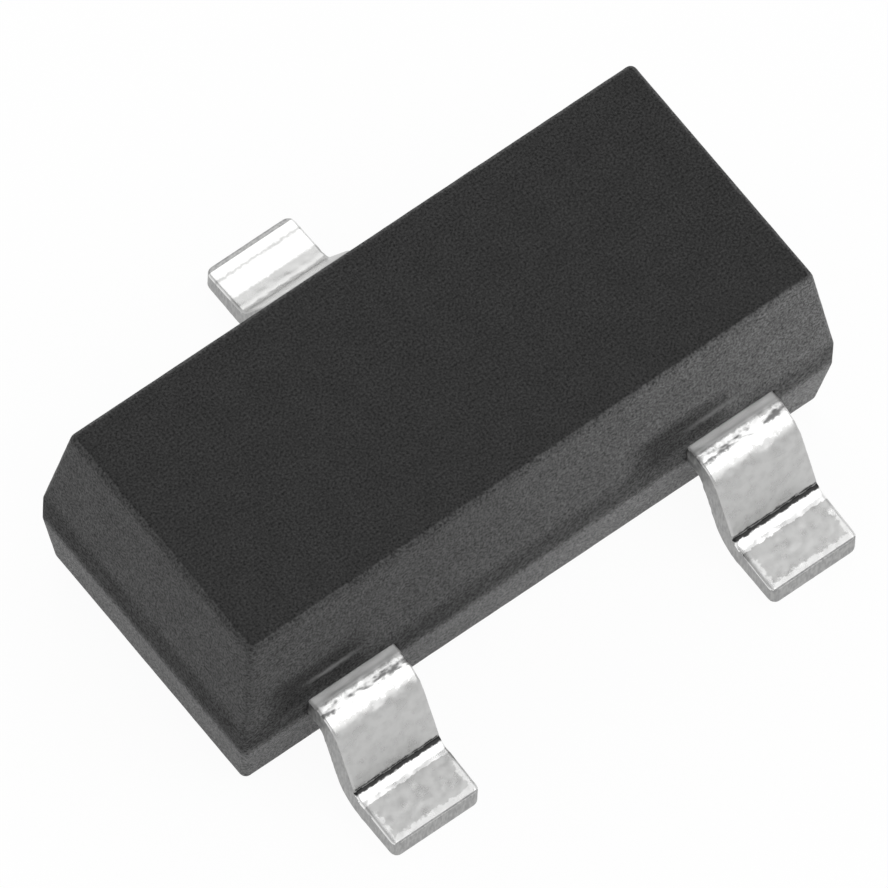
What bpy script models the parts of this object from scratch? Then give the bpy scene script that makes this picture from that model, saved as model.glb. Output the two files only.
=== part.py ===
# A three-lead surface-mount temperature sensor, at its real size in metres.
# The origin lies on the seating plane under the middle of the body and +Z is up.
# +X runs along the body. The ground lead leaves it towards +Y, the two signal leads towards -Y.

import math

import bmesh
import bpy
from mathutils import Matrix, Vector

# Moulded body
BODY_LENGTH = 2.97e-3
BODY_WIDTH = 1.35e-3
STANDOFF = 0.02e-3
LOWER_HEIGHT = 0.325e-3
LAND_HEIGHT = 0.155e-3
UPPER_HEIGHT = 0.57e-3
DRAFT_ANGLE = math.radians(7.5)
BODY_EDGE_RADIUS = 0.025e-3
EJECTOR_MARK_DIAMETER = 0.50e-3
EJECTOR_MARK_DEPTH = 0.02e-3

# Leads, stamped from one strip and then bent
OUTER_LEAD_SPACING = 1.90e-3
LEAD_WIDTH = 0.43e-3
LEAD_THICKNESS = 0.125e-3
SHOULDER_LENGTH = 0.045e-3
BEND_RADIUS = 0.12e-3
LEG_ANGLE = math.radians(64.0)
FOOT_LENGTH = 0.22e-3
STAMPED_EDGE_RADIUS = 0.012e-3
PAD_BORDER = 0.16e-3
POST_GAP = 0.18e-3
POST_INNER_END = 0.04e-3
POST_LENGTH = 0.32e-3

# What the body is moulded round
DIE_LENGTH = 0.62e-3
DIE_WIDTH = 0.54e-3
DIE_HEIGHT = 0.18e-3
ATTACH_THICKNESS = 0.02e-3
ATTACH_MARGIN = 0.03e-3
WIRE_DIAMETER = 0.030e-3
LOOP_HEIGHT = 0.14e-3
LOOP_RISE_SHARE = 1.5
LOOP_FALL_SHARE = 0.5
LOOP_REACH_SHARE = 0.6
BALL_DIAMETER = 0.075e-3
BALL_SEAT_SHARE = 0.8
BALL_HEIGHT = 0.030e-3
STITCH_LENGTH = 0.080e-3
STITCH_WIDTH = 0.050e-3
STITCH_HEIGHT = 0.014e-3
BOND_INSET = 0.10e-3

# Every inner piece keeps this gap to the resin and to the piece that it is bonded to
FIT_CLEARANCE = 0.004e-3

# Facets of the round shapes
BODY_EDGE_STEPS = 4
STAMPED_EDGE_STEPS = 3
BEND_STEPS = 8
WIRE_POINTS = 14
WIRE_BEVEL_STEPS = 2
MARK_SIDES = 24
WELD_DISTANCE = 1.0e-8

# Levels of the body and of what lies in it
LAND_BOTTOM = STANDOFF + LOWER_HEIGHT
LAND_TOP = LAND_BOTTOM + LAND_HEIGHT
BODY_TOP = LAND_TOP + UPPER_HEIGHT
LEAD_PLANE = LAND_BOTTOM + LEAD_THICKNESS / 2
LEAD_TOP = LEAD_PLANE + LEAD_THICKNESS / 2
ATTACH_BOTTOM = LEAD_TOP + FIT_CLEARANCE
ATTACH_TOP = ATTACH_BOTTOM + ATTACH_THICKNESS
DIE_BOTTOM = ATTACH_TOP + FIT_CLEARANCE
DIE_TOP = DIE_BOTTOM + DIE_HEIGHT

# The die pad goes round the die, and a bond post fills its lead's side of the pad
LEAD_OFFSET = OUTER_LEAD_SPACING / 2
PAD_WIDTH = DIE_LENGTH + 2 * PAD_BORDER
PAD_LENGTH = DIE_WIDTH + 2 * PAD_BORDER
POST_WIDTH = 2 * (LEAD_OFFSET - POST_GAP) - PAD_WIDTH

# A lead's developed length, measured outwards from the body's middle plane
BEND_START = BODY_WIDTH / 2 + SHOULDER_LENGTH
BEND_LENGTH = BEND_RADIUS * LEG_ANGLE
BENDS_DROP = 2 * BEND_RADIUS * (1 - math.cos(LEG_ANGLE))
LEG_LENGTH = (LEAD_PLANE - LEAD_THICKNESS / 2 - BENDS_DROP) / math.sin(LEG_ANGLE)
ANKLE_START = BEND_START + BEND_LENGTH + LEG_LENGTH
TOE = ANKLE_START + BEND_LENGTH + FOOT_LENGTH


def clear_scene():
    for old in list(bpy.data.objects):
        bpy.data.objects.remove(old)


def new_collection(name):
    collection = bpy.data.collections.new(name)
    bpy.context.scene.collection.children.link(collection)
    return collection


def new_material(name, colour, roughness, metallic):
    material = bpy.data.materials.new(name)
    material.use_nodes = True
    shader = material.node_tree.nodes["Principled BSDF"]
    shader.inputs["Base Color"].default_value = (*colour, 1.0)
    shader.inputs["Roughness"].default_value = roughness
    shader.inputs["Metallic"].default_value = metallic
    return material


def object_from_bmesh(name, bm):
    """A new object that holds the bmesh, with its normals facing out."""
    bmesh.ops.recalc_face_normals(bm, faces=bm.faces)
    mesh = bpy.data.meshes.new(name)
    bm.to_mesh(mesh)
    bm.free()
    return bpy.data.objects.new(name, mesh)


def mesh_from_curve(curve_object):
    """The closed mesh of a curve, in world space, in a bmesh. The curve is removed."""
    bpy.context.scene.collection.objects.link(curve_object)
    bpy.context.view_layer.update()
    evaluated = curve_object.evaluated_get(bpy.context.evaluated_depsgraph_get())
    mesh = bpy.data.meshes.new_from_object(evaluated)
    bm = bmesh.new()
    bm.from_mesh(mesh)
    bmesh.ops.transform(bm, matrix=curve_object.matrix_world, verts=bm.verts)
    bmesh.ops.remove_doubles(bm, verts=bm.verts, dist=WELD_DISTANCE)
    bpy.data.objects.remove(curve_object)
    bpy.data.meshes.remove(mesh)
    return bm


def grown(outline, distance):
    """The outline, given anticlockwise, with each side moved outwards by the distance."""
    corners = [Vector(point) for point in outline]
    result = []
    for before, corner, after in zip(corners[-1:] + corners[:-1], corners, corners[1:] + corners[:1]):
        come = (corner - before).normalized()
        leave = (after - corner).normalized()
        outward = Vector((come.y + leave.y, -come.x - leave.x))
        result.append(corner + outward * (distance / (1 + come.dot(leave))))
    return result


def plate(outline, bottom, top):
    """A flat outline drawn as a curve and extruded between two levels, as a bmesh."""
    curve = bpy.data.curves.new("outline", "CURVE")
    curve.dimensions = "2D"
    curve.fill_mode = "BOTH"
    curve.extrude = (top - bottom) / 2
    spline = curve.splines.new("POLY")
    spline.points.add(len(outline) - 1)
    for point, (x, y) in zip(spline.points, outline):
        point.co = (x, y, 0, 1)
    spline.use_cyclic_u = True
    drawn = bpy.data.objects.new("outline", curve)
    drawn.location.z = (bottom + top) / 2
    return mesh_from_curve(drawn)


def pad_outline():
    """The ground lead before bending: the die pad, then the lead itself, out to the toe."""
    lead, pad, far = LEAD_WIDTH / 2, PAD_WIDTH / 2, PAD_LENGTH / 2
    return [(-pad, -far), (pad, -far), (pad, far), (lead, far),
            (lead, TOE), (-lead, TOE), (-lead, far), (-pad, far)]


def post_outline():
    """A signal lead before bending: the bond post, wider than the lead so that it cannot pull out."""
    lead, post = LEAD_WIDTH / 2, POST_WIDTH / 2
    near, neck = POST_INNER_END, POST_INNER_END + POST_LENGTH
    return [(-post, near), (post, near), (post, neck), (lead, neck),
            (lead, TOE), (-lead, TOE), (-lead, neck), (-post, neck)]


def formed(along, above):
    """Where a point of the flat blank ends up: along is its developed length, above its height over
    the middle of the strip. The lead runs level, bends down, and bends back level at its foot."""
    if along <= BEND_START:
        return along, LEAD_PLANE + above
    out, height, slope = BEND_START, LEAD_PLANE, 0.0
    left = along - BEND_START
    for length, turn in ((BEND_LENGTH, LEG_ANGLE), (LEG_LENGTH, 0.0),
                         (BEND_LENGTH, -LEG_ANGLE), (FOOT_LENGTH, 0.0)):
        run = min(left, length)
        if turn:
            end_slope = slope + turn * run / length
            radius = length / turn
            out += radius * (math.sin(end_slope) - math.sin(slope))
            height -= radius * (math.cos(slope) - math.cos(end_slope))
            slope = end_slope
        else:
            out += run * math.cos(slope)
            height -= run * math.sin(slope)
        left -= run
    return out + above * math.sin(slope), height + above * math.cos(slope)


def bend_stations():
    """The developed lengths at which the strip is divided so that it can follow its bends."""
    steps = [BEND_LENGTH * step / BEND_STEPS for step in range(BEND_STEPS + 1)]
    return [start + step for start in (BEND_START, ANKLE_START) for step in steps]


def formed_lead(name, outline):
    """A lead stamped from strip with rounded edges, then bent to its gull-wing form."""
    bm = plate(outline, -LEAD_THICKNESS / 2, LEAD_THICKNESS / 2)
    bmesh.ops.dissolve_limit(bm, angle_limit=math.radians(1), verts=bm.verts, edges=bm.edges)
    bmesh.ops.bevel(bm, geom=bm.edges, offset=STAMPED_EDGE_RADIUS, segments=STAMPED_EDGE_STEPS,
                    profile=0.5, affect="EDGES", clamp_overlap=True)
    for station in bend_stations():
        everything = list(bm.verts) + list(bm.edges) + list(bm.faces)
        bmesh.ops.bisect_plane(bm, geom=everything, plane_co=(0, station, 0), plane_no=(0, 1, 0))
    for vertex in bm.verts:
        vertex.co.y, vertex.co.z = formed(vertex.co.y, vertex.co.z)
    return object_from_bmesh(name, bm)


def body_blank():
    """The body without its pockets: a level land at the parting line, drafted above and below it."""
    bm = bmesh.new()
    bmesh.ops.create_cube(bm, size=1.0)
    size = Vector((BODY_LENGTH, BODY_WIDTH, BODY_TOP - STANDOFF))
    middle = Vector((0, 0, (BODY_TOP + STANDOFF) / 2))
    bmesh.ops.transform(bm, matrix=Matrix.Translation(middle) @ Matrix.Diagonal((*size, 1)), verts=bm.verts)
    for level in (LAND_BOTTOM, LAND_TOP):
        everything = list(bm.verts) + list(bm.edges) + list(bm.faces)
        bmesh.ops.bisect_plane(bm, geom=everything, plane_co=(0, 0, level), plane_no=(0, 0, 1))
    for vertex in bm.verts:
        beyond_land = max(LAND_BOTTOM - vertex.co.z, vertex.co.z - LAND_TOP, 0)
        inset = beyond_land * math.tan(DRAFT_ANGLE)
        vertex.co.x -= math.copysign(inset, vertex.co.x)
        vertex.co.y -= math.copysign(inset, vertex.co.y)
    body = object_from_bmesh("moulded_body", bm)
    rounding = body.modifiers.new("moulded edges", "BEVEL")
    rounding.width = BODY_EDGE_RADIUS
    rounding.segments = BODY_EDGE_STEPS
    rounding.limit_method = "ANGLE"
    rounding.angle_limit = math.radians(45)
    return body


def block(name, length, width, bottom, top):
    """A rectangular block centred over the origin."""
    bm = bmesh.new()
    bmesh.ops.create_cube(bm, size=1.0)
    placed = Matrix.Translation((0, 0, (bottom + top) / 2)) @ Matrix.Diagonal((length, width, top - bottom, 1))
    bmesh.ops.transform(bm, matrix=placed, verts=bm.verts)
    return object_from_bmesh(name, bm)


def wire_route(ball, stitch):
    """A bond wire's line as (place, radius): up through its ball, over in one loop, and level along
    the metal that it is stitched to. Both ends are given on the surface that they are bonded to."""
    radius = WIRE_DIAMETER / 2
    rise = Vector((0, 0, 1))
    heading = ((stitch - ball) * Vector((1, 1, 0))).normalized()
    neck = ball + rise * BALL_HEIGHT
    landing = stitch + rise * radius - heading * STITCH_LENGTH / 2
    tail = landing + heading * STITCH_LENGTH
    reach = (landing - neck).length * LOOP_REACH_SHARE
    above_ball = neck + rise * LOOP_HEIGHT * LOOP_RISE_SHARE
    above_metal = landing - heading * reach + rise * LOOP_HEIGHT * LOOP_FALL_SHARE
    corners = (neck, above_ball, above_metal, landing)
    ball_radius = BALL_DIAMETER / 2
    route = [(ball, ball_radius * BALL_SEAT_SHARE), (ball + rise * BALL_HEIGHT / 2, ball_radius)]
    for step in range(WIRE_POINTS):
        t = step / (WIRE_POINTS - 1)
        weights = ((1 - t) ** 3, 3 * t * (1 - t) ** 2, 3 * t ** 2 * (1 - t), t ** 3)
        route.append((sum((corner * weight for corner, weight in zip(corners, weights)), Vector()), radius))
    return route + [((landing + tail) / 2, radius), (tail, radius)]


def swept(name, route):
    """A round tube along a route of (place, radius), as a closed bmesh."""
    curve = bpy.data.curves.new(name, "CURVE")
    curve.dimensions = "3D"
    curve.bevel_depth = WIRE_DIAMETER / 2
    curve.bevel_resolution = WIRE_BEVEL_STEPS
    curve.use_fill_caps = True
    spline = curve.splines.new("POLY")
    spline.points.add(len(route) - 1)
    for point, (place, radius) in zip(spline.points, route):
        point.co = (*place, 1)
        point.radius = radius / curve.bevel_depth
    return mesh_from_curve(bpy.data.objects.new(name, curve))


def bond_wire(name, ball, stitch, grow=0.0):
    """A wire from a ball on the die to a stitch on a lead, its tail pressed flat and wide by the bond.
    Grown all round, it is the room that the wire takes in the resin."""
    route = [(place, radius + grow) for place, radius in wire_route(ball, stitch)]
    for end, inner in ((0, 1), (-1, -2)):
        place, radius = route[end]
        route[end] = (place + (place - route[inner][0]).normalized() * grow, radius)
    bm = swept(name, route)
    heading = ((stitch - ball) * Vector((1, 1, 0))).normalized()
    sideways = Vector((-heading.y, heading.x, 0))
    base, thick = stitch.z - grow, WIRE_DIAMETER + 2 * grow
    widening, flattening = (STITCH_WIDTH + 2 * grow) / thick - 1, (STITCH_HEIGHT + 2 * grow) / thick - 1
    for vertex in bm.verts:
        along = (vertex.co - stitch).dot(heading) / STITCH_LENGTH + 0.5
        pressed = min(max(along, 0.0), 1.0)
        vertex.co += sideways * (vertex.co - stitch).dot(sideways) * widening * pressed
        vertex.co.z += (vertex.co.z - base) * flattening * pressed
    return object_from_bmesh(name, bm)


def add_cutter(cutter, cutters):
    cutters.objects.link(cutter)
    cutter.hide_render = True
    cutter.display_type = "WIRE"


def combine(target, other, operation):
    boolean = target.modifiers.new(other.name, "BOOLEAN")
    boolean.operation = operation
    boolean.solver = "EXACT"
    boolean.object = other


def finish(obj, material, collection):
    """Gives a piece its material and its place in the sensor's collection, shaded smooth."""
    collection.objects.link(obj)
    obj.data.materials.append(material)
    obj.data.shade_smooth()
    obj.data.set_sharp_from_angle(angle=math.radians(30))


def place_lead(obj, across, turned):
    """Sets a lead at its place along the body. A turned lead points towards -Y."""
    obj.location.x = across
    obj.rotation_euler.z = math.pi if turned else 0.0


def slot_cutter(name, outline):
    """The room that a lead takes in the resin, out through the side of the body."""
    past_body = BODY_WIDTH / 2 + BODY_EDGE_RADIUS
    inside = [(x, min(y, past_body)) for x, y in outline]
    half = LEAD_THICKNESS / 2 + FIT_CLEARANCE
    return object_from_bmesh(name, plate(grown(inside, FIT_CLEARANCE), LEAD_PLANE - half, LEAD_PLANE + half))


def bond_places():
    """Where each wire is bonded, as (on the die, on the metal) by node name."""
    ball_x, ball_y = DIE_LENGTH / 2 - BOND_INSET, DIE_WIDTH / 2 - BOND_INSET
    post_x = LEAD_OFFSET - POST_WIDTH / 2 + BOND_INSET
    post_y = -(POST_INNER_END + POST_LENGTH / 2)
    down_y = (DIE_WIDTH / 2 + ATTACH_MARGIN + PAD_LENGTH / 2) / 2
    die, metal = DIE_TOP + FIT_CLEARANCE, LEAD_TOP + FIT_CLEARANCE
    return {
        "supply_bond_wire": (Vector((-ball_x, -ball_y, die)), Vector((-post_x, post_y, metal))),
        "output_bond_wire": (Vector((ball_x, -ball_y, die)), Vector((post_x, post_y, metal))),
        "ground_bond_wire": (Vector((0, ball_y, die)), Vector((ball_x, down_y, metal))),
    }


def build():
    clear_scene()
    parts = new_collection("smd_temperature_sensor")
    cutters = new_collection("cutters")
    resin = new_material("mould_compound", (0.045, 0.045, 0.047), 0.55, 0.0)
    tin = new_material("tin_plate", (0.72, 0.72, 0.71), 0.35, 1.0)
    silicon = new_material("silicon", (0.16, 0.17, 0.21), 0.2, 0.0)
    silver_epoxy = new_material("silver_epoxy", (0.55, 0.55, 0.54), 0.6, 0.0)
    gold = new_material("gold_wire", (0.9, 0.65, 0.25), 0.25, 1.0)

    body = body_blank()
    finish(body, resin, parts)

    # The thin wires' pockets come first, while the resin round them is still whole
    for name, (ball, stitch) in bond_places().items():
        finish(bond_wire(name, ball, stitch), gold, parts)
        pocket = bond_wire(f"{name}_pocket", ball, stitch, grow=FIT_CLEARANCE)
        add_cutter(pocket, cutters)
        combine(body, pocket, "DIFFERENCE")

    leads = (("ground_lead", pad_outline(), 0.0, False),
             ("supply_lead", post_outline(), -LEAD_OFFSET, True),
             ("output_lead", post_outline(), LEAD_OFFSET, True))
    for name, outline, across, turned in leads:
        lead = formed_lead(name, outline)
        place_lead(lead, across, turned)
        finish(lead, tin, parts)
        slot = slot_cutter(f"{name}_slot", outline)
        place_lead(slot, across, turned)
        add_cutter(slot, cutters)
        combine(body, slot, "DIFFERENCE")

    attach_length, attach_width = DIE_LENGTH + 2 * ATTACH_MARGIN, DIE_WIDTH + 2 * ATTACH_MARGIN
    blocks = (("die_attach", attach_length, attach_width, ATTACH_BOTTOM, ATTACH_TOP, silver_epoxy),
              ("silicon_die", DIE_LENGTH, DIE_WIDTH, DIE_BOTTOM, DIE_TOP, silicon))
    for name, length, width, bottom, top, material in blocks:
        finish(block(name, length, width, bottom, top), material, parts)
        pocket = block(f"{name}_pocket", length + 2 * FIT_CLEARANCE, width + 2 * FIT_CLEARANCE,
                       LEAD_PLANE, top + FIT_CLEARANCE)
        add_cutter(pocket, cutters)
        combine(body, pocket, "DIFFERENCE")

    bm = bmesh.new()
    bmesh.ops.create_cone(bm, cap_ends=True, segments=MARK_SIDES, radius1=EJECTOR_MARK_DIAMETER / 2,
                          radius2=EJECTOR_MARK_DIAMETER / 2, depth=2 * EJECTOR_MARK_DEPTH,
                          matrix=Matrix.Translation((0, 0, STANDOFF)))
    mark = object_from_bmesh("ejector_mark", bm)
    add_cutter(mark, cutters)
    combine(body, mark, "DIFFERENCE")


build()
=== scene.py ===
import math

import bmesh
import bpy
from mathutils import Matrix, Vector, noise


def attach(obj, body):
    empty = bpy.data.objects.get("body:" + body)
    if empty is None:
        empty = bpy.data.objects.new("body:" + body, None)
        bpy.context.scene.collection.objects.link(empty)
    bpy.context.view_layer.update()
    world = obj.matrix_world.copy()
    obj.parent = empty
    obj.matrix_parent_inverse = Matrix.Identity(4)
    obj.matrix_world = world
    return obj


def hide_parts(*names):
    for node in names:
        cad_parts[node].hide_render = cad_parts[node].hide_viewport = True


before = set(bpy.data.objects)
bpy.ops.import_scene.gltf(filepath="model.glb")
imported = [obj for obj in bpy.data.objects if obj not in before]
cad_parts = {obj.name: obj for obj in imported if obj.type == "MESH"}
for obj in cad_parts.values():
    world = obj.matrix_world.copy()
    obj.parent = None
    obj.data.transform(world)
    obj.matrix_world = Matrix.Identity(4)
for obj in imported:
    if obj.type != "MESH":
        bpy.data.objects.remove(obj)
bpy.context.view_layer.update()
mm = 0.001
um = 0.000001
print("frame loaded:", ", ".join(sorted(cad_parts)))


# Camera, set from the photograph

cameraSettings = {
    "azimuth": -40.05,  # degrees, as the views count it
    "elevation": 62.745,
    "roll": 3.095,
    "distance": 145 * mm,  # a long lens from afar, so the edges stay nearly parallel
    "sensor": 36.0,
    "pixelsPerMm": 249.73,  # at the seating plane
    "originPixel": (435.8, 478.0),  # where the middle of the seating plane shows
    "imagePixels": 888,
}


def addCamera(s):
    azimuth, elevation, roll = (math.radians(s[name]) for name in ("azimuth", "elevation", "roll"))
    back = Vector((math.sin(azimuth) * math.cos(elevation), -math.cos(azimuth) * math.cos(elevation),
                   math.sin(elevation)))
    level = Vector((0, 0, 1)).cross(back).normalized()
    upright = back.cross(level)
    right = level * math.cos(roll) + upright * math.sin(roll)
    up = upright * math.cos(roll) - level * math.sin(roll)
    half = s["imagePixels"] / 2
    perPixel = mm / s["pixelsPerMm"]
    x, y = s["originPixel"]
    aim = (right * (half - x) - up * (half - y)) * perPixel
    data = bpy.data.cameras.new("photoCamera")
    data.sensor_width = s["sensor"]
    data.lens = s["sensor"] * s["distance"] / (s["imagePixels"] * perPixel)
    data.clip_start = s["distance"] / 2
    data.clip_end = s["distance"] * 4
    camera = bpy.data.objects.new("photoCamera", data)
    bpy.context.scene.collection.objects.link(camera)
    matrix = Matrix((right, up, back)).transposed().to_4x4()
    matrix.translation = aim + back * s["distance"]
    camera.matrix_world = matrix
    bpy.context.scene.camera = camera


addCamera(cameraSettings)
bpy.context.scene.view_settings.view_transform = "Standard"
print("camera set")


# Small helpers for edit mode. Merging and cutting distances are tiny, because the part is 3 mm long.

tiny = 0.01 * um
mostly = 0.9  # a normal or an edge runs along an axis if its share there is more than this
hardly = 0.1  # and across the axis if it is less than this


def onlySelect(piece):
    bpy.ops.object.select_all(action="DESELECT")
    bpy.context.view_layer.objects.active = piece
    piece.select_set(True)


def startEditing(piece, mode="FACE"):
    onlySelect(piece)
    bpy.ops.object.mode_set(mode="EDIT")
    bpy.ops.mesh.select_mode(type=mode)
    bpy.ops.mesh.select_all(action="DESELECT")


def stopEditing():
    bpy.ops.object.mode_set(mode="OBJECT")


def pickFaces(piece, wanted):  # wanted takes a face's middle and its normal
    bpy.ops.mesh.select_all(action="DESELECT")
    mesh = bmesh.from_edit_mesh(piece.data)
    for face in mesh.faces:
        if wanted(face.calc_center_median(), face.normal):
            face.select_set(True)
    bmesh.update_edit_mesh(piece.data)


# wanted takes an edge's middle and its direction
def pickEdges(piece, wanted, shortest=0.0, longest=1.0):
    bpy.ops.mesh.select_all(action="DESELECT")
    mesh = bmesh.from_edit_mesh(piece.data)
    for edge in mesh.edges:
        first, second = (vertex.co for vertex in edge.verts)
        if shortest < (second - first).length < longest:
            edge.select_set(wanted((first + second) / 2, (second - first).normalized()))
    bmesh.update_edit_mesh(piece.data)


def divide(length, cell):  # divides the selected edges, and the faces between them, into cells
    bpy.ops.mesh.subdivide(number_cuts=max(1, round(length / cell) - 1))


def extrude(move):
    bpy.ops.mesh.extrude_region_move(TRANSFORM_OT_translate={"value": tuple(move)})


def cutAcross(axis, places):  # cuts everything by planes across an axis, 0 for x, 1 for y and 2 for z
    normal = [0, 0, 0]
    normal[axis] = 1
    for place in places:
        at = [0, 0, 0]
        at[axis] = place
        bpy.ops.mesh.select_all(action="SELECT")
        bpy.ops.mesh.bisect(plane_co=at, plane_no=normal, threshold=tiny)


def evenSteps(first, last, size):  # places between two ends, about size apart
    count = max(1, round((last - first) / size))
    return [first + (last - first) * step / count for step in range(1, count)]


def addBar(name, size, middle):
    bpy.ops.object.select_all(action="DESELECT")
    bpy.ops.mesh.primitive_cube_add(size=1, location=middle)
    piece = bpy.context.active_object
    piece.name = name
    piece.data.name = name
    piece.scale = size
    bpy.ops.object.transform_apply(location=True, rotation=True, scale=True)
    return piece


def applyAll(piece):
    onlySelect(piece)
    for modifier in list(piece.modifiers):
        bpy.ops.object.modifier_apply(modifier=modifier.name)


def smoothShade(piece, sharpAbove):  # in degrees; the flat faces stay flat, the roundings take the turn
    onlySelect(piece)
    bpy.ops.object.shade_smooth_by_angle(angle=math.radians(sharpAbove))
    weighting = piece.modifiers.new("flat faces first", "WEIGHTED_NORMAL")
    weighting.keep_sharp = True
    applyAll(piece)


def pushSurface(piece, height):  # moves each vertex out by the height at its place
    outward = [vertex.normal.copy() for vertex in piece.data.vertices]
    places = [vertex.co.copy() for vertex in piece.data.vertices]
    for vertex, place, normal in zip(piece.data.vertices, places, outward):
        vertex.co = place + normal * height(place)


def handIn(piece, node):
    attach(piece, "root")
    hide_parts(node)
    print("made", piece.name, "with", len(piece.data.polygons), "faces")


# Moulded body: a level land at the parting line, drafted halves above and below it

bodySettings = {
    "length": 2.97 * mm,
    "width": 1.35 * mm,
    "bottom": 0.02 * mm,
    "landBottom": 0.345 * mm,
    "landTop": 0.50 * mm,
    "top": 1.07 * mm,
    "draft": 7.5,
    "edgeRadius": 30 * um,
    "edgeSteps": 6,
    "edgeAbove": 45.0,  # only edges that turn further than this are rounded
    "shortEdge": 0.1 * mm,  # the edges of the roundings are shorter, and stay undivided
    "cell": 26 * um,
    "sharpAbove": 30,
    "swell": 0.7 * um,  # how far the resin's skin waves in and out
    "swellSize": 70 * um,
    "markRadius": 0.25 * mm,  # the ejector's mark, in the middle of the underside
    "markDepth": 20 * um,
    "markSides": 48,
    "clearance": 4 * um,  # round the leads and the inner pieces
}


def makeBody(s):
    landHeight = s["landTop"] - s["landBottom"]
    middle = (s["landTop"] + s["landBottom"]) / 2
    body = addBar("mouldedShell", (s["length"], s["width"], landHeight), (0, 0, middle))
    startEditing(body)
    for side, height in ((1, s["top"] - s["landTop"]), (-1, s["landBottom"] - s["bottom"])):
        inset = 2 * height * math.tan(math.radians(s["draft"]))
        pickFaces(body, lambda place, normal: normal.z * side > mostly)
        extrude((0, 0, side * height))
        bpy.ops.transform.resize(value=(1 - inset / s["length"], 1 - inset / s["width"], 1))
    stopEditing()
    rounding = body.modifiers.new("moulded edges", "BEVEL")
    rounding.width = s["edgeRadius"]
    rounding.segments = s["edgeSteps"]
    rounding.limit_method = "ANGLE"
    rounding.angle_limit = math.radians(s["edgeAbove"])
    applyAll(body)
    startEditing(body, "EDGE")
    pickEdges(body, lambda place, direction: abs(direction.x) > mostly, s["shortEdge"])
    divide(s["length"], s["cell"])
    pickEdges(body, lambda place, direction: abs(direction.y) > mostly, s["shortEdge"])
    divide(s["width"], s["cell"])
    levels = (s["bottom"], s["landBottom"], s["landTop"], s["top"])
    for low, high in zip(levels, levels[1:]):
        pickEdges(body, lambda place, direction: abs(direction.z) > mostly and low < place.z < high,
                  s["shortEdge"])
        divide(high - low, s["cell"])
    stopEditing()
    pushSurface(body, lambda place: s["swell"] * noise.noise(place / s["swellSize"]))
    return body


def combine(piece, cutter, operation):
    boolean = piece.modifiers.new(cutter.name, "BOOLEAN")
    boolean.operation = operation
    boolean.solver = "EXACT"
    boolean.object = cutter
    onlySelect(piece)
    bpy.ops.object.modifier_apply(modifier=boolean.name)
    bpy.data.objects.remove(cutter)


def fattenedCopy(node, by):  # the room that a moulded-in piece takes in the resin
    cutter = node.copy()
    cutter.data = node.data.copy()
    cutter.parent = None
    bpy.context.scene.collection.objects.link(cutter)
    startEditing(cutter)
    bpy.ops.mesh.select_all(action="SELECT")
    bpy.ops.mesh.remove_doubles(threshold=tiny)
    bpy.ops.transform.shrink_fatten(value=by, use_even_offset=True)
    stopEditing()
    return cutter


body = makeBody(bodySettings)
print("body blank made")
inner = [node for name, node in sorted(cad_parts.items()) if name != "moulded_body"]
pocket = fattenedCopy(inner[0], bodySettings["clearance"])
for node in inner[1:]:
    combine(pocket, fattenedCopy(node, bodySettings["clearance"]), "UNION")
print("pocket made:", len(pocket.data.polygons), "faces")
combine(body, pocket, "DIFFERENCE")
print("pocket cut")
bpy.ops.mesh.primitive_cylinder_add(vertices=bodySettings["markSides"],
                                    radius=bodySettings["markRadius"],
                                    depth=2 * bodySettings["markDepth"],
                                    location=(0, 0, bodySettings["bottom"]))
combine(body, bpy.context.active_object, "DIFFERENCE")
print("body moulded:", len(body.data.polygons), "faces")


# Leads: each is drawn out of a short bar, bent down at the shoulder and level again at the ankle

leadSettings = {
    "width": 0.43 * mm,
    "thickness": 0.125 * mm,
    "plane": 0.4075 * mm,  # height of the middle of the strip inside the body
    "pitch": 0.95 * mm,  # how far each signal lead stands from the middle of the body
    "exit": 0.675 * mm,  # where a lead leaves the body, and where its first bar is put down
    "start": 0.64 * mm,
    "flare": 0.02 * mm,  # the run in which it widens inside the body
    "shoulder": 0.045 * mm,
    "bendRadius": 0.12 * mm,
    "legAngle": 64.0,
    "foot": 0.22 * mm,
    "edgeRadius": 12 * um,
    "edgeSteps": 3,
    "sharpAbove": 40,
    "toeTurns": (20, 40, 60, 75),  # where the toe's roundings get a ring, in degrees
    "shearedSlope": 0.25,  # a face is a cut side if its normal rises or falls less than this
    "footTaper": 5.0,  # the foot is pressed thinner towards its toe, in degrees
    "cell": 9 * um,
    "swell": 0.5 * um,  # waves of the flat metal, and of the bends, which the tools have worked
    "bendSwell": 2.2 * um,
    "swellSize": 28 * um,
    "finerSwell": 0.3,  # the share of a second wave, half as long
    "creaseTurn": 55.0,  # the crease that the tool leaves in the ankle, as the slope of the metal there
    "creaseWidth": 8 * um,
    "workedReach": 1.2,  # how far out the shoulder is worked, in bend radii
    "workedFade": 15 * um,
    "pressHeight": 1.5 * um,  # the line where the shoulder's bend starts
    "pressWidth": 8 * um,
}
leadKinds = {
    "signal": {
        "wide": 0.60 * mm,  # the bond post inside the body, and where it starts and stops
        "neck": 0.36 * mm,
        "far": 0.04 * mm,
        "toeCorner": 30 * um,  # roundings of the toe, seen from above and from the side
        "toeEdge": 4 * um,
        "shearedToe": 8 * um,
        "creaseDepth": 5 * um,
    },
    "ground": {
        "wide": 0.94 * mm,  # the die pad
        "neck": 0.43 * mm,
        "far": -0.43 * mm,
        "toeCorner": 40 * um,
        "toeEdge": 22 * um,
        "shearedToe": 30 * um,
        "creaseDepth": 0.0,
    },
}


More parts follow.
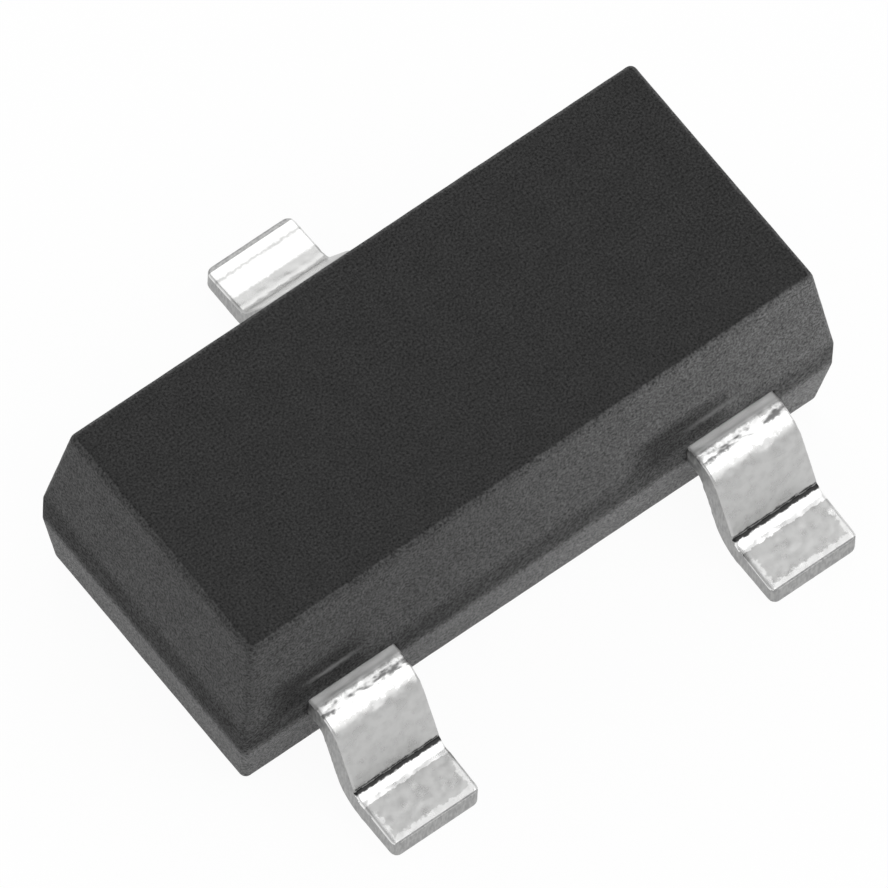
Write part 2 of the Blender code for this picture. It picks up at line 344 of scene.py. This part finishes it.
def bendPlaces(s):  # the pivots of both bends, how the leg runs and how long it is
    angle = math.radians(s["legAngle"])
    outwards = Vector((0, math.sin(angle), math.cos(angle)))
    down = Vector((0, math.cos(angle), -math.sin(angle)))
    shoulderPivot = Vector((0, s["exit"] + s["shoulder"], s["plane"] - s["bendRadius"]))
    legTop = shoulderPivot + outwards * s["bendRadius"]
    drop = legTop.z - s["thickness"] / 2 - s["bendRadius"] * (1 - math.cos(angle))
    legLength = drop / math.sin(angle)
    anklePivot = legTop + down * legLength + outwards * s["bendRadius"]
    return (shoulderPivot, anklePivot), down, legLength


leadPivots, down, legLength = bendPlaces(leadSettings)


def creasePlace(anklePivot):
    turn = math.radians(leadSettings["creaseTurn"])
    inner = leadSettings["bendRadius"] - leadSettings["thickness"] / 2
    return anklePivot - Vector((0, math.sin(turn), math.cos(turn))) * inner


def within(value, low, high, fade):  # 1 between low and high, fading to 0 outside them
    return min(1.0, max(0.0, 1 - (low - value) / fade), max(0.0, 1 - (value - high) / fade))


def roughenLead(lead, kind, own):  # own keeps the leads from waving alike
    s = leadSettings
    shoulderPivot, anklePivot = leadPivots
    crease = creasePlace(anklePivot)
    taper = math.tan(math.radians(s["footTaper"]))
    for vertex in lead.data.vertices:
        beyond = max(0.0, vertex.co.y - anklePivot.y)
        vertex.co.z *= 1 - beyond * taper / s["thickness"]

    bends = [(shoulderPivot.y + s["pressWidth"], shoulderPivot.y + s["bendRadius"] * s["workedReach"]),
             (crease.y, anklePivot.y)]

    def height(place):
        if place.y < s["exit"]:
            return 0.0
        worked = max(within(place.y, low, high, s["workedFade"]) for low, high in bends)
        wave = noise.noise(place / s["swellSize"] + own)
        wave += s["finerSwell"] * noise.noise(place / s["swellSize"] * 2 + own)
        groove = math.exp(-((place - crease).yz.length / s["creaseWidth"]) ** 2)
        line = math.exp(-((place.y - shoulderPivot.y) / s["pressWidth"]) ** 2)
        if place.z <= s["plane"]:
            line = 0.0
        return (wave * (s["swell"] + (s["bendSwell"] - s["swell"]) * worked)
                - groove * kind["creaseDepth"] + line * s["pressHeight"])

    pushSurface(lead, height)


def markSheared(lead, shearedToe):  # the cut sides and the toe's end take the second material
    s = leadSettings
    toe = max(vertex.co.y for vertex in lead.data.vertices)
    for face in lead.data.polygons:
        upright = abs(face.normal.z) < s["shearedSlope"] and face.center.y > s["start"]
        face.material_index = 1 if upright or face.center.y > toe - shearedToe else 0


def roundedInset(radius, left):  # how far a rounded edge has drawn in, with so much left to its end
    return radius - math.sqrt(radius ** 2 - max(0.0, radius - left) ** 2)


def roundToe(s, kind):  # ends the foot in short steps, each narrower and thinner than the last
    corner, edge = kind["toeCorner"], kind["toeEdge"]
    turns = [math.sin(math.radians(turn)) for turn in s["toeTurns"]]
    lefts = {corner * (1 - turn) for turn in turns} | {edge * (1 - turn) for turn in turns} | {edge, 0.0}
    wide, high, before = s["width"], s["thickness"], corner
    for left in sorted(lefts, reverse=True):
        extrude((0, before - left, 0))
        newWide = s["width"] - 2 * roundedInset(corner, left)
        newHigh = s["thickness"] - 2 * roundedInset(edge, left)
        bpy.ops.transform.resize(value=(newWide / wide, 1, newHigh / high))
        wide, high, before = newWide, newHigh, left


def bendLead(name, kind):
    s = leadSettings
    angle = math.radians(s["legAngle"])
    bendStart = s["exit"] + s["shoulder"]
    lead = addBar(name, (s["width"], s["cell"], s["thickness"]), (0, s["start"], s["plane"]))
    startEditing(lead, "EDGE")
    pickEdges(lead, lambda place, direction: abs(direction.y) > mostly)
    bpy.ops.mesh.bevel(offset=s["edgeRadius"], segments=s["edgeSteps"], profile=0.5, affect="EDGES")
    flat = s["width"] / 2 - s["edgeRadius"]
    cutAcross(0, evenSteps(-flat, flat, s["cell"]))
    rise = s["thickness"] / 2 - s["edgeRadius"]
    cutAcross(2, evenSteps(s["plane"] - rise, s["plane"] + rise, s["cell"]))
    bpy.ops.mesh.select_mode(type="FACE")

    # inwards, widening into the pad or the bond post
    pickFaces(lead, lambda place, normal: normal.y < -mostly)
    extrude((0, kind["neck"] + s["flare"] - s["start"] + s["cell"] / 2, 0))
    extrude((0, -s["flare"], 0))
    bpy.ops.transform.resize(value=(kind["wide"] / s["width"], 1, 1))
    extrude((0, kind["far"] - kind["neck"], 0))

    # outwards, over the shoulder, down the leg and along the foot
    firstOut = s["start"] + s["cell"] / 2
    pickFaces(lead, lambda place, normal: normal.y > mostly and place.y > s["start"])
    extrude((0, bendStart - firstOut, 0))
    bendSteps = round(s["bendRadius"] * angle / s["cell"])
    shoulderPivot, anklePivot = leadPivots
    bpy.ops.mesh.spin(steps=bendSteps, dupli=False, angle=angle, use_auto_merge=False,
                      center=shoulderPivot, axis=(1, 0, 0))
    extrude(down * legLength)
    bpy.ops.mesh.spin(steps=bendSteps, dupli=False, angle=angle, use_auto_merge=False,
                      center=anklePivot, axis=(-1, 0, 0))
    footRun = s["foot"] - kind["toeCorner"]
    extrude((0, footRun, 0))
    roundToe(s, kind)
    bpy.ops.mesh.select_mode(type="EDGE")
    slack = 0.02  # the straight runs are picked by their length
    for length in (bendStart - firstOut, legLength, footRun):
        pickEdges(lead, lambda place, direction: abs(direction.x) < hardly and place.y > s["start"],
                  (1 - slack) * length, (1 + slack) * length)
        divide(length, s["cell"])
    bpy.ops.mesh.select_all(action="SELECT")
    bpy.ops.mesh.normals_make_consistent(inside=False)
    stopEditing()
    return lead


def placeLead(name, blank, kind, across, turned):  # a copy of the blank, with its own mesh
    lead = blank.copy()
    lead.data = blank.data.copy()
    lead.name = lead.data.name = name + "_formed"
    bpy.context.scene.collection.objects.link(lead)
    roughenLead(lead, kind, Vector((across / mm, 0, 0)))
    markSheared(lead, kind["shearedToe"])
    lead.location.x = across
    lead.rotation_euler.z = math.pi if turned else 0.0
    onlySelect(lead)
    bpy.ops.object.transform_apply(location=True, rotation=True, scale=True)
    smoothShade(lead, leadSettings["sharpAbove"])
    return lead


blanks = {name: bendLead(name, kind) for name, kind in leadKinds.items()}
leads = {}
for name, kind, across, turned in (("ground_lead", "ground", 0.0, False),
                                   ("supply_lead", "signal", -leadSettings["pitch"], True),
                                   ("output_lead", "signal", leadSettings["pitch"], True)):
    leads[name] = placeLead(name, blanks[kind], leadKinds[kind], across, turned)
for blank in blanks.values():
    bpy.data.objects.remove(blank)
print("leads bent")


# Material helpers

wideSpread = (0.30, 0.70)  # nearly all of a noise's values
closeSpread = (0.35, 0.65)  # fewer of them, for more contrast


def newMaterial(name):
    material = bpy.data.materials.new(name)
    material.use_nodes = True
    return material, material.node_tree, material.node_tree.nodes["Principled BSDF"]


def stretchPlace(tree, vector, scale):
    mapping = tree.nodes.new("ShaderNodeMapping")
    mapping.inputs["Scale"].default_value = scale
    tree.links.new(vector, mapping.inputs["Vector"])
    return mapping.outputs["Vector"]


def inMillimetres(tree):
    place = tree.nodes.new("ShaderNodeTexCoord")
    return stretchPlace(tree, place.outputs["Object"], (1 / mm, 1 / mm, 1 / mm))


def addNoise(tree, vector, size, detail=3.0, roughness=0.5):  # size in millimetres
    texture = tree.nodes.new("ShaderNodeTexNoise")
    texture.inputs["Scale"].default_value = 1 / size
    texture.inputs["Detail"].default_value = detail
    texture.inputs["Roughness"].default_value = roughness
    tree.links.new(vector, texture.inputs["Vector"])
    return texture.outputs["Fac"]


def setOrLink(tree, socket, value):  # the value may be a number or another node's output
    if isinstance(value, (int, float)):
        socket.default_value = value
    else:
        tree.links.new(value, socket)


def mapRange(tree, value, low, high, toLow=0.0, toHigh=1.0, smooth=True):
    ranged = tree.nodes.new("ShaderNodeMapRange")
    ranged.interpolation_type = "SMOOTHSTEP" if smooth else "LINEAR"
    for socket, number in (("From Min", low), ("From Max", high), ("To Min", toLow), ("To Max", toHigh)):
        setOrLink(tree, ranged.inputs[socket], number)
    tree.links.new(value, ranged.inputs["Value"])
    return ranged.outputs["Result"]


def calculate(tree, operation, first, second=0.0):  # either may be a socket or a number
    step = tree.nodes.new("ShaderNodeMath")
    step.operation = operation
    for socket, value in zip(step.inputs, (first, second)):
        setOrLink(tree, socket, value)
    return step.outputs["Value"]


def addShare(tree, value, other, share):  # the value, plus a share of another
    return calculate(tree, "ADD", value, calculate(tree, "MULTIPLY", other, share))


def zone(tree, value, low, high, fade):  # 1 between low and high, 0 beyond them
    rise = mapRange(tree, value, low - fade, low + fade)
    return calculate(tree, "MULTIPLY", rise, mapRange(tree, value, high + fade, high - fade))


def scaled(tree, value, mask, factor):  # the value, times the factor where the mask is 1
    return calculate(tree, "MULTIPLY", value, mapRange(tree, mask, 0, 1, 1.0, factor, smooth=False))


def splitPlace(tree, vector):
    split = tree.nodes.new("ShaderNodeSeparateXYZ")
    tree.links.new(vector, split.inputs["Vector"])
    return split.outputs


def mixColours(tree, factor, first, second):
    mix = tree.nodes.new("ShaderNodeMix")
    mix.data_type = "RGBA"
    tree.links.new(factor, mix.inputs["Factor"])
    for socket, value in ((mix.inputs["A"], first), (mix.inputs["B"], second)):
        if isinstance(value, tuple):
            socket.default_value = (*value, 1.0)
        else:
            tree.links.new(value, socket)
    return mix.outputs["Result"]


def addBump(tree, shader, height, strength, depth):
    bump = tree.nodes.new("ShaderNodeBump")
    bump.inputs["Strength"].default_value = strength
    bump.inputs["Distance"].default_value = depth
    tree.links.new(height, bump.inputs["Height"])
    tree.links.new(bump.outputs["Normal"], shader.inputs["Normal"])


# Moulded resin: charcoal, with a fine grain of filler and a duller land; its top, lower half, two-lead
# side and the patches by the leads carry painted light and shade

resinSettings = {
    "shade": (0.013, 0.085),  # plain grey, from the darkest grain to the lightest
    "cloudShade": (0.94, 1.06),
    "grain": 0.010,  # millimetres, as are all the sizes and places below
    "cloud": 0.12,
    "wander": 0.05,  # the edges of the patches wander, by so much sideways and upwards
    "wanderReach": (0.12, 0.024),
    "roughness": (0.56, 0.36),
    "specular": 0.08,
    "bump": (0.5, 2.0 * um),  # its strength and its depth
    "topHeight": (1.0655, 1.0685),  # painted shade: the flat top is painted darker than the sides
    "topPaintedShade": 0.53,
    "nearPlace": (-0.575, -0.60),  # the two-lead side, painted lighter towards the right: painted light
    "nearPaintedLight": (1.15, 2.35),
    "nearTurn": (-0.5, 1.6),
    "lowerHeight": (0.40, 0.33),  # painted light: the lower half is painted lighter, standing for the bright floor it reflects
    "lowerPaintedLight": 1.45,
    "partingBand": (0.32, 0.415, 0.48, 0.58),  # fades in and out again, upwards
    "partingShade": 0.8,
    "partingRoughness": 0.3,
    "shadedDullExits": {  # painted shade to the left of each signal lead, where the lead shades the resin; also rougher there
        "middles": (-1.12, 0.70),
        "reach": 0.22,
        "heights": (0.50, 0.70),
        "endFade": 0.09,
        "edgeFade": 0.05,
    },
    "exitPaintedShade": 0.45,
    "exitRoughness": 0.2,
    "leadReflections": {  # a painted reflection of each lead's bright shoulder: a light line over each of them
        "middles": (-1.04, 0.88),
        "reach": 0.11,
        "heights": (0.590, 0.610),
        "endFade": 0.10,
        "edgeFade": 0.018,
    },
    "reflectionLight": 0.16,
}


def nearPatches(tree, across, height, near, s):  # 1 in soft patches on the two-lead side, 0 elsewhere
    offsets = [calculate(tree, "SUBTRACT", across, middle) for middle in s["middles"]]
    closest = calculate(tree, "MINIMUM", *(calculate(tree, "ABSOLUTE", offset) for offset in offsets))
    along = mapRange(tree, closest, s["reach"] + s["endFade"], s["reach"] - s["endFade"])
    upwards = zone(tree, height, *s["heights"], s["edgeFade"])
    return calculate(tree, "MULTIPLY", near, calculate(tree, "MULTIPLY", along, upwards))


def makeResin(s):
    material, tree, shader = newMaterial("mouldedResin")
    place = inMillimetres(tree)
    axes = splitPlace(tree, place)
    grain = addNoise(tree, place, s["grain"], roughness=0.6)
    cloud = addNoise(tree, place, s["cloud"], detail=2.0)
    wander = calculate(tree, "SUBTRACT", addNoise(tree, place, s["wander"]), 0.5)
    sideways, upwards = s["wanderReach"]
    across = addShare(tree, axes["X"], wander, sideways)
    height = addShare(tree, axes["Z"], wander, upwards)

    # where the skin is lighter, darker or duller than elsewhere; the top, lower half, near side, lead
    # patches and light lines are painted light and shade
    near = mapRange(tree, axes["Y"], *s["nearPlace"])
    nearPaintedLight = mapRange(tree, axes["X"], *s["nearTurn"], *s["nearPaintedLight"], smooth=False)
    # the patches by the lead exits: painted shade in the colour, and rougher
    shadedAndDulled = nearPatches(tree, across, height, near, s["shadedDullExits"])
    # painted reflection: a light line over each signal lead
    paintedReflection = nearPatches(tree, across, height, near, s["leadReflections"])
    startFade, endFade, startOff, endOff = s["partingBand"]
    parting = calculate(tree, "MULTIPLY", mapRange(tree, height, startFade, endFade),
                        mapRange(tree, height, endOff, startOff))
    top = mapRange(tree, axes["Z"], *s["topHeight"])

    shade = mapRange(tree, grain, *wideSpread, *s["shade"], smooth=False)
    shade = calculate(tree, "MULTIPLY", shade, mapRange(tree, cloud, *wideSpread, *s["cloudShade"]))
    # painted light: the two-lead side is painted lighter towards its right end
    shade = calculate(tree, "MULTIPLY", shade, mapRange(tree, near, 0, 1, 1.0, nearPaintedLight, smooth=False))
    # painted shade: the flat top is coloured darker than the sides
    shade = scaled(tree, shade, top, s["topPaintedShade"])
    # painted light: the lower half is coloured lighter, as if it caught the floor's reflection
    shade = scaled(tree, shade, mapRange(tree, height, *s["lowerHeight"]), s["lowerPaintedLight"])
    shade = scaled(tree, shade, parting, s["partingShade"])
    # painted shade by each signal lead's exit
    shade = scaled(tree, shade, shadedAndDulled, s["exitPaintedShade"])
    # painted reflection of each lead's bright shoulder, set as a light base colour
    shade = mapRange(tree, paintedReflection, 0, 1, shade, s["reflectionLight"], smooth=False)
    tree.links.new(shade, shader.inputs["Base Color"])
    rough = mapRange(tree, grain, *closeSpread, *s["roughness"])
    rough = addShare(tree, rough, parting, s["partingRoughness"])
    rough = addShare(tree, rough, shadedAndDulled, s["exitRoughness"])
    tree.links.new(rough, shader.inputs["Roughness"])
    shader.inputs["Specular IOR Level"].default_value = s["specular"]
    addBump(tree, shader, grain, *s["bump"])
    return material


# Plated metal: satin tin over the stamped strip, with painted highlights on its bends and feet and
# painted shade in the ankle's crease and bands

tinSettings = {
    "colour": (0.55, 0.55, 0.545),
    "dull": (0.48, 0.48, 0.475),
    "worked": (0.76, 0.76, 0.755),  # brighter where the bending tools have rubbed, and partly a painted highlight there
    "pressed": (0.96, 0.96, 0.955),  # and a painted highlight, brightest, beyond the crease
    "scuffed": (0.20, 0.20, 0.20),
    # painted shade in the ankle's crease
    "crease": (0.03, 0.03, 0.03),
    # painted shade for the bands across the ground lead
    "bandShadeGrey": (0.47, 0.47, 0.465),
    "roughness": (0.26, 0.34),
    "dulledBy": 0.2,  # how much rougher the exit and the scuffs are
    "mottle": 0.05,  # sizes of the patterns, in millimetres
    "fine": 0.018,
    "ragged": 0.022,
    "dashes": 0.025,
    "dashStretch": (0.35, 1.0, 1.0),
    "dashSpread": (0.38, 0.60),
    "exitEnd": (0.728, 0.716),  # the clean strip where the lead leaves the resin
    "shoulderTurns": (4.0, 33.0),  # the worked parts of the bends, as the slope of the metal there
    "ankleTurns": (-14.0, 54.0),
    "scuffTurns": (8.0, 18.0),
    "turnFades": (2.0, 2.0, 3.0),  # how softly those three end, and how raggedly, in degrees
    "turnRagged": (30.0, 24.0, 14.0),
    "bump": (0.4, 0.3 * um),
}
signalTin = {
    **tinSettings,
    "creaseWidth": (0.011, 0.022),
    "creaseRagged": 0.017,
    "paintedShadeBands": (),
    "rimHighlight": (1.222, 0.186),  # painted highlight along the foot's edges: how far out, and how far from its middle
    "rimFade": 0.006,
    "rimRagged": 0.06,
    "rimStart": (1.08, 1.11),
}
# painted light: the ground lead's tin is the same plating, painted lighter than the signal leads'
litGroundTin = {
    **tinSettings,
    "colour": (0.80, 0.80, 0.795),
    "dull": (0.74, 0.74, 0.735),
    "ankleTurns": (8.0, 54.0),
    "pressed": (0.76, 0.76, 0.755),
    "creaseWidth": (),
    "paintedShadeBands": ((0.70, 1.080), (1.175, 1.187)),  # painted shade: its heel, and a line across its foot
    "bandFade": 0.008,
    "bandRagged": 0.025,
    "rimHighlight": (),
}


def bendAngle(tree, out, height, pivot, side):  # how far round a bend a place lies, in degrees
    across = calculate(tree, "MULTIPLY", calculate(tree, "SUBTRACT", out, pivot.y / mm), side)
    above = calculate(tree, "MULTIPLY", calculate(tree, "SUBTRACT", height, pivot.z / mm), side)
    return calculate(tree, "MULTIPLY", calculate(tree, "ARCTAN2", across, above), 180 / math.pi)


def paintedRimHighlight(tree, across, out, ragged, s):  # 1 along the edges of a signal lead's foot, where a highlight is painted
    toeRim, sideRim = s["rimHighlight"]
    fromMiddle = calculate(tree, "ABSOLUTE", across)
    fromPitch = calculate(tree, "SUBTRACT", fromMiddle, leadSettings["pitch"] / mm)
    aside = calculate(tree, "ABSOLUTE", fromPitch)
    toeHighlight, sideHighlight = (mapRange(tree, addShare(tree, reached, ragged, s["rimRagged"]),
                                      edge - s["rimFade"], edge + s["rimFade"])
                             for reached, edge in ((out, toeRim), (aside, sideRim)))
    onFoot = mapRange(tree, out, *s["rimStart"])
    return calculate(tree, "MULTIPLY", onFoot, calculate(tree, "MAXIMUM", toeHighlight, sideHighlight))


def fromCrease(tree, out, height):  # how far a place lies from the crease in the ankle
    crease = creasePlace(leadPivots[1])
    offset = tree.nodes.new("ShaderNodeCombineXYZ")
    tree.links.new(calculate(tree, "SUBTRACT", out, crease.y / mm), offset.inputs["X"])
    tree.links.new(calculate(tree, "SUBTRACT", height, crease.z / mm), offset.inputs["Y"])
    reach = tree.nodes.new("ShaderNodeVectorMath")
    reach.operation = "LENGTH"
    tree.links.new(offset.outputs["Vector"], reach.inputs[0])
    return reach.outputs["Value"]


def makeTin(name, s):
    shoulderPivot, anklePivot = leadPivots
    material, tree, shader = newMaterial(name)
    place = inMillimetres(tree)
    mottle = addNoise(tree, place, s["mottle"], detail=2.5)
    fine = addNoise(tree, place, s["fine"], detail=2.0)
    ragged = calculate(tree, "SUBTRACT", addNoise(tree, place, s["ragged"], roughness=0.6), 0.5)
    axes = splitPlace(tree, place)
    out = calculate(tree, "ABSOLUTE", axes["Y"])
    metal = mixColours(tree, mapRange(tree, mottle, *closeSpread), s["dull"], s["colour"])

    # bright where the tools have worked the bends, partly a painted highlight; also the clean exit strip
    # and the painted rim highlight
    shoulderFade, ankleFade, scuffFade = s["turnFades"]
    shoulderRagged, ankleRagged, scuffRagged = s["turnRagged"]
    slope = bendAngle(tree, out, axes["Z"], shoulderPivot, 1)
    over = addShare(tree, slope, ragged, shoulderRagged)
    under = addShare(tree, bendAngle(tree, out, axes["Z"], anklePivot, -1), ragged, ankleRagged)
    atExit = mapRange(tree, out, *s["exitEnd"])
    worked = calculate(tree, "MAXIMUM", zone(tree, over, *s["shoulderTurns"], shoulderFade), atExit)
    # painted highlight along the rim of each signal lead's foot
    if s["rimHighlight"]:
        worked = calculate(tree, "MAXIMUM", worked, paintedRimHighlight(tree, axes["X"], out, ragged, s))
    metal = mixColours(tree, worked, metal, s["worked"])
    # painted highlight along the ankle's bend
    metal = mixColours(tree, zone(tree, under, *s["ankleTurns"], ankleFade), metal, s["pressed"])

    # scraped in short dashes along the shoulder
    stretched = stretchPlace(tree, place, s["dashStretch"])
    dashes = mapRange(tree, addNoise(tree, stretched, s["dashes"], detail=2.5), *s["dashSpread"])
    slope = addShare(tree, slope, ragged, scuffRagged)
    scuffs = calculate(tree, "MULTIPLY", dashes, zone(tree, slope, *s["scuffTurns"], scuffFade))
    metal = mixColours(tree, scuffs, metal, s["scuffed"])

    # painted shade in the crease inside the ankle, and in bands across the foot
    if s["creaseWidth"]:
        creased, clear = s["creaseWidth"]
        far = addShare(tree, fromCrease(tree, out, axes["Z"]), ragged, s["creaseRagged"])
        metal = mixColours(tree, mapRange(tree, far, clear, creased), metal, s["crease"])
    # painted shade in bands across the ground lead's heel and foot
    for low, high in s["paintedShadeBands"]:
        along = addShare(tree, out, ragged, s["bandRagged"])
        metal = mixColours(tree, zone(tree, along, low, high, s["bandFade"]), metal, s["bandShadeGrey"])
    tree.links.new(metal, shader.inputs["Base Color"])
    rough = mapRange(tree, mottle, *wideSpread, *s["roughness"])
    rough = addShare(tree, rough, calculate(tree, "MAXIMUM", scuffs, atExit), s["dulledBy"])
    tree.links.new(rough, shader.inputs["Roughness"])
    shader.inputs["Metallic"].default_value = 1.0
    addBump(tree, shader, fine, *s["bump"])
    return material


# The cut sides and ends of the strip are duller than its plated faces

shearedSettings = {
    "colour": (0.42, 0.42, 0.415),
    "dull": (0.27, 0.27, 0.27),
    "roughness": (0.38, 0.55),
    "drawn": 0.012,  # streaks drawn out along the cut, and clouds over them
    "drawnStretch": (1.0, 1.0, 0.25),
    "cloud": 0.03,
    "blend": (0.75, 1.25),
    "bump": (0.4, 0.6 * um),
}


def makeSheared(s):
    material, tree, shader = newMaterial("shearedMetal")
    place = inMillimetres(tree)
    stretched = stretchPlace(tree, place, s["drawnStretch"])
    drawn = addNoise(tree, stretched, s["drawn"], roughness=0.6)
    cloud = addNoise(tree, place, s["cloud"])
    blend = mapRange(tree, calculate(tree, "ADD", drawn, cloud), *s["blend"])
    tree.links.new(mixColours(tree, blend, s["dull"], s["colour"]), shader.inputs["Base Color"])
    tree.links.new(mapRange(tree, cloud, *wideSpread, *s["roughness"]), shader.inputs["Roughness"])
    shader.inputs["Metallic"].default_value = 1.0
    addBump(tree, shader, drawn, *s["bump"])
    return material


body.data.materials.clear()
body.data.materials.append(makeResin(resinSettings))
smoothShade(body, bodySettings["sharpAbove"])
handIn(body, "moulded_body")
plated = {"signal": makeTin("signalTin", signalTin), "ground": makeTin("litGroundTin", litGroundTin)}
sheared = makeSheared(shearedSettings)
for name, lead in leads.items():
    lead.data.materials.append(plated["ground" if name == "ground_lead" else "signal"])
    lead.data.materials.append(sheared)
    handIn(lead, name)


# Inner pieces, kept from the model and given their finishes

innerSettings = {
    "silicon": {
        "nodes": ("silicon_die",),
        "dark": (0.13, 0.14, 0.18),
        "light": (0.19, 0.20, 0.25),
        "cloud": 0.06,
        "roughness": (0.12, 0.2),
        "metallic": 0.0,
        "bump": (0.3, 0.5 * um),
    },
    "silverEpoxy": {
        "nodes": ("die_attach",),
        "dark": (0.45, 0.45, 0.44),
        "light": (0.62, 0.62, 0.6),
        "cloud": 0.012,
        "roughness": (0.5, 0.7),
        "metallic": 0.0,
        "bump": (0.3, 0.5 * um),
    },
    "goldWire": {
        "nodes": ("supply_bond_wire", "output_bond_wire", "ground_bond_wire"),
        "dark": (0.85, 0.58, 0.20),
        "light": (0.93, 0.68, 0.28),
        "cloud": 0.02,
        "roughness": (0.18, 0.3),
        "metallic": 1.0,
        "bump": (0.3, 0.5 * um),
    },
}


def finishNode(name, material):
    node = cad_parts[name]
    node.data.materials.clear()
    node.data.materials.append(material)
    for polygon in node.data.polygons:
        polygon.material_index = 0


def makeInner(name, s):
    material, tree, shader = newMaterial(name)
    cloud = addNoise(tree, inMillimetres(tree), s["cloud"])
    colour = mixColours(tree, mapRange(tree, cloud, *closeSpread), s["dark"], s["light"])
    tree.links.new(colour, shader.inputs["Base Color"])
    tree.links.new(mapRange(tree, cloud, *wideSpread, *s["roughness"]), shader.inputs["Roughness"])
    shader.inputs["Metallic"].default_value = s["metallic"]
    addBump(tree, shader, cloud, *s["bump"])
    return material


for finish, settings in innerSettings.items():
    material = makeInner(finish, settings)
    for name in settings["nodes"]:
        finishNode(name, material)
print("materials made")


# Floor, lamps and world

studioSettings = {
    "floorRadius": 300 * mm,
    "floorSides": 96,
    "floorGap": 2 * um,  # just clear of the waves under the feet
    "floorColour": 0.86,
    "floorGlow": 0.95,  # how far the floor shows as plain white to the camera
    "floorMirrored": 0.9,  # and to what reflects it
    "mirroredLevel": 1.0,
    "worldLight": (0.9, 0.5),  # near the horizon, and overhead
    "worldTurn": (0.3, 0.75),  # how high a direction points where the one gives way to the other
    "lamps": {
        "overFront": {
            "towards": (0.29, -0.40, 0.85),
            "size": 155 * mm,
            "away": 150 * mm,
            "level": 1.45,
        },
        "lowBack": {
            "towards": (0.29, 0.733, 0.615),
            "size": 134 * mm,
            "away": 150 * mm,
            "level": 1.2,
        },
    },
}


def makeFloor(s):
    bpy.ops.object.select_all(action="DESELECT")
    bpy.ops.mesh.primitive_circle_add(vertices=s["floorSides"], radius=s["floorRadius"],
                                      fill_type="NGON", location=(0, 0, -s["floorGap"]))
    floor = bpy.context.active_object
    floor.name = "studioFloor"
    material = bpy.data.materials.new("studioFloor")
    material.use_nodes = True
    tree = material.node_tree
    tree.nodes.clear()
    output = tree.nodes.new("ShaderNodeOutputMaterial")
    plain = tree.nodes.new("ShaderNodeBsdfDiffuse")
    plain.inputs["Color"].default_value = (*(s["floorColour"],) * 3, 1)
    glow = tree.nodes.new("ShaderNodeEmission")
    rays = tree.nodes.new("ShaderNodeLightPath")
    seen = calculate(tree, "MULTIPLY", rays.outputs["Is Camera Ray"], s["floorGlow"])
    mirrored = calculate(tree, "MULTIPLY", rays.outputs["Is Glossy Ray"], s["floorMirrored"])
    strength = mapRange(tree, rays.outputs["Is Camera Ray"], 0, 1, s["mirroredLevel"], 1.0, smooth=False)
    tree.links.new(strength, glow.inputs["Strength"])
    mix = tree.nodes.new("ShaderNodeMixShader")
    tree.links.new(calculate(tree, "ADD", seen, mirrored), mix.inputs["Fac"])
    tree.links.new(plain.outputs["BSDF"], mix.inputs[1])
    tree.links.new(glow.outputs["Emission"], mix.inputs[2])
    tree.links.new(mix.outputs["Shader"], output.inputs["Surface"])
    floor.data.materials.append(material)


def addLamp(name, s):
    data = bpy.data.lights.new(name, "AREA")
    data.shape = "SQUARE"
    data.size = s["size"]
    data.energy = s["level"] * math.pi * s["size"] ** 2
    lamp = bpy.data.objects.new(name, data)
    towards = Vector(s["towards"]).normalized()
    lamp.location = towards * s["away"]
    lamp.rotation_mode = "QUATERNION"
    lamp.rotation_quaternion = towards.to_track_quat("Z", "Y")
    bpy.context.scene.collection.objects.link(lamp)


def makeWorld(s):
    world = bpy.data.worlds.new("studio")
    world.use_nodes = True
    tree = world.node_tree
    background = tree.nodes["Background"]
    rays = tree.nodes.new("ShaderNodeLightPath")
    direction = tree.nodes.new("ShaderNodeTexCoord")
    lifted = splitPlace(tree, direction.outputs["Generated"])["Z"]
    light = mapRange(tree, lifted, *s["worldTurn"], *s["worldLight"])
    strength = calculate(tree, "MAXIMUM", light, rays.outputs["Is Camera Ray"])
    tree.links.new(strength, background.inputs["Strength"])
    background.inputs["Color"].default_value = (1, 1, 1, 1)
    bpy.context.scene.world = world


makeFloor(studioSettings)
for name, settings in studioSettings["lamps"].items():
    addLamp(name, settings)
makeWorld(studioSettings)
print("studio lit")
